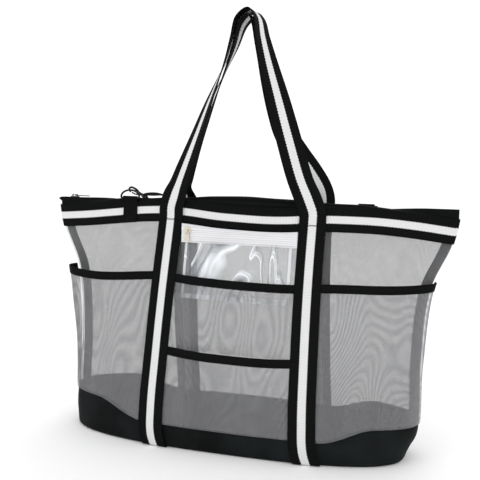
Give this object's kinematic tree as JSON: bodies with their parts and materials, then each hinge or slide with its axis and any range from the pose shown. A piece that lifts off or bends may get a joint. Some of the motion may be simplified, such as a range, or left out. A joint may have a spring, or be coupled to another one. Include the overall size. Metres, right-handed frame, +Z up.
{
  "type": "mesh beach tote bag",
  "caption": "See-through mesh beach tote with fabric base, striped webbing handles and straps, zipped top, outside pockets, clear zip pouch and a snap hook on a D-ring.",
  "frame": {"origin": "middle of the base on the floor, at the centre of the overall box", "axes": "+X along the bag towards its right end as seen from the front, +Y towards the back panel, +Z up towards the handles; the panel with the pockets faces -Y"},
  "size_m": [0.6184, 0.1806, 0.641],
  "materials": {
    "handle_webbing": "ribbed polyester webbing, black with a white stripe of the same width down the middle",
    "strap_webbing": "ribbed polyester webbing, black with a white stripe down the middle",
    "band_webbing": "ribbed polyester webbing, black with a white stripe down the middle",
    "base_fabric": "matt black woven polyester",
    "closure_fabric": "black tape fabric with faint lengthwise ribs",
    "mesh_net": "sheer grey knitted polyester net, see-through",
    "binding_tape": "black ribbed grosgrain",
    "side_seam_tape": "grey woven seam tape",
    "clear_sheet": "clear glossy soft PVC",
    "white_zip_tape": "white waterproof zip tape, slightly glossy",
    "black_zip_tape": "black woven zip tape",
    "dark_metal": "dark nickel-plated zinc",
    "pale_gold_metal": "pale gold plated zinc",
    "tab_webbing": "narrow black webbing",
    "black_plastic": "moulded black acetal"
  },
  "bodies": {
    "bag": {"back_base_wall": "base_fabric", "back_closure_strip": "closure_fabric", "back_left_strap": "strap_webbing", "back_net_panel": "mesh_net", "back_right_strap": "strap_webbing", "back_ring_tab": "tab_webbing", "back_top_band": "band_webbing", "back_zip_tape": "black_zip_tape", "base_bottom_panel": "base_fabric", "front_base_wall": "base_fabric", "front_closure_strip": "closure_fabric", "front_left_strap": "strap_webbing", "front_net_panel": "mesh_net", "front_right_strap": "strap_webbing", "front_ring_tab": "tab_webbing", "front_top_band": "band_webbing", "front_zip_tape": "black_zip_tape", "hook_eye": "black_plastic", "hook_leash": "tab_webbing", "left_pocket_binding": "binding_tape", "left_pocket_net": "mesh_net", "left_side_binding": "side_seam_tape", "lower_pocket_binding": "binding_tape", "lower_pocket_net": "mesh_net", "pouch_back_sheet": "clear_sheet", "pouch_front_sheet": "clear_sheet", "pouch_lower_tape": "white_zip_tape", "pouch_upper_tape": "white_zip_tape", "right_pocket_binding": "binding_tape", "right_pocket_net": "mesh_net", "right_side_binding": "side_seam_tape", "upper_pocket_binding": "binding_tape", "upper_pocket_net": "mesh_net", "zip_end_stop": "dark_metal", "zip_tail": "black_zip_tape"},
    "front_handle": {"front_handle": "handle_webbing"},
    "back_handle": {"back_handle": "handle_webbing"},
    "zip_slider": {"zip_slider": "dark_metal"},
    "zip_pull": {"zip_pull": "dark_metal"},
    "pouch_slider": {"pouch_slider": "pale_gold_metal"},
    "pouch_pull": {"pouch_pull": "pale_gold_metal"},
    "front_ring": {"front_ring": "black_plastic"},
    "back_ring": {"back_ring": "black_plastic"},
    "hook": {"hook_body": "black_plastic"},
    "hook_gate": {"hook_gate": "black_plastic"}
  },
  "joints": [
    {"name": "front_handle_swing", "type": "hinge", "parent": "bag", "child": "front_handle", "pos_m": [0, -0.0381, 0.3371], "axis": [1, 0, 0], "range_deg": [0, 156]},
    {"name": "back_handle_swing", "type": "hinge", "parent": "bag", "child": "back_handle", "pos_m": [0, 0.0381, 0.3371], "axis": [-1, 0, 0], "range_deg": [0, 160]},
    {"name": "zip_slide", "type": "slide", "parent": "bag", "child": "zip_slider", "axis": [1, 0, 0], "range_m": [0, 0.56]},
    {"name": "zip_pull_flip", "type": "hinge", "parent": "zip_slider", "child": "zip_pull", "pos_m": [-0.2818, 0, 0.3594], "axis": [0, -1, 0], "range_deg": [0, 140]},
    {"name": "pouch_slide", "type": "slide", "parent": "bag", "child": "pouch_slider", "axis": [1, 0, 0], "range_m": [0, 0.15]},
    {"name": "pouch_pull_lift", "type": "hinge", "parent": "pouch_slider", "child": "pouch_pull", "pos_m": [-0.077, -0.04562, 0.315], "axis": [-1, 0, 0], "range_deg": [0, 150]},
    {"name": "front_ring_tilt", "type": "hinge", "parent": "bag", "child": "front_ring", "pos_m": [-0.17559, -0.02973, 0.35953], "axis": [0.9938, -0.1109, 0], "range_deg": [0, 3]},
    {"name": "back_ring_lift", "type": "hinge", "parent": "bag", "child": "back_ring", "pos_m": [0.17559, 0.02973, 0.35955], "axis": [0.9938, -0.1109, 0], "range_deg": [0, 165]},
    {"name": "hook_swivel", "type": "hinge", "parent": "bag", "child": "hook", "pos_m": [-0.16157, -0.02237, 0.36547], "axis": [-0.6414, -0.6414, 0.4209], "range_deg": [-12, 12]},
    {"name": "hook_gate_press", "type": "hinge", "parent": "hook", "child": "hook_gate", "pos_m": [-0.16676, -0.02971, 0.36562], "axis": [-0.7672, 0.5363, -0.3519], "range_deg": [0, 15], "stiffness_Nm_per_rad": 0.005, "springref_deg": -17.19}
  ]
}
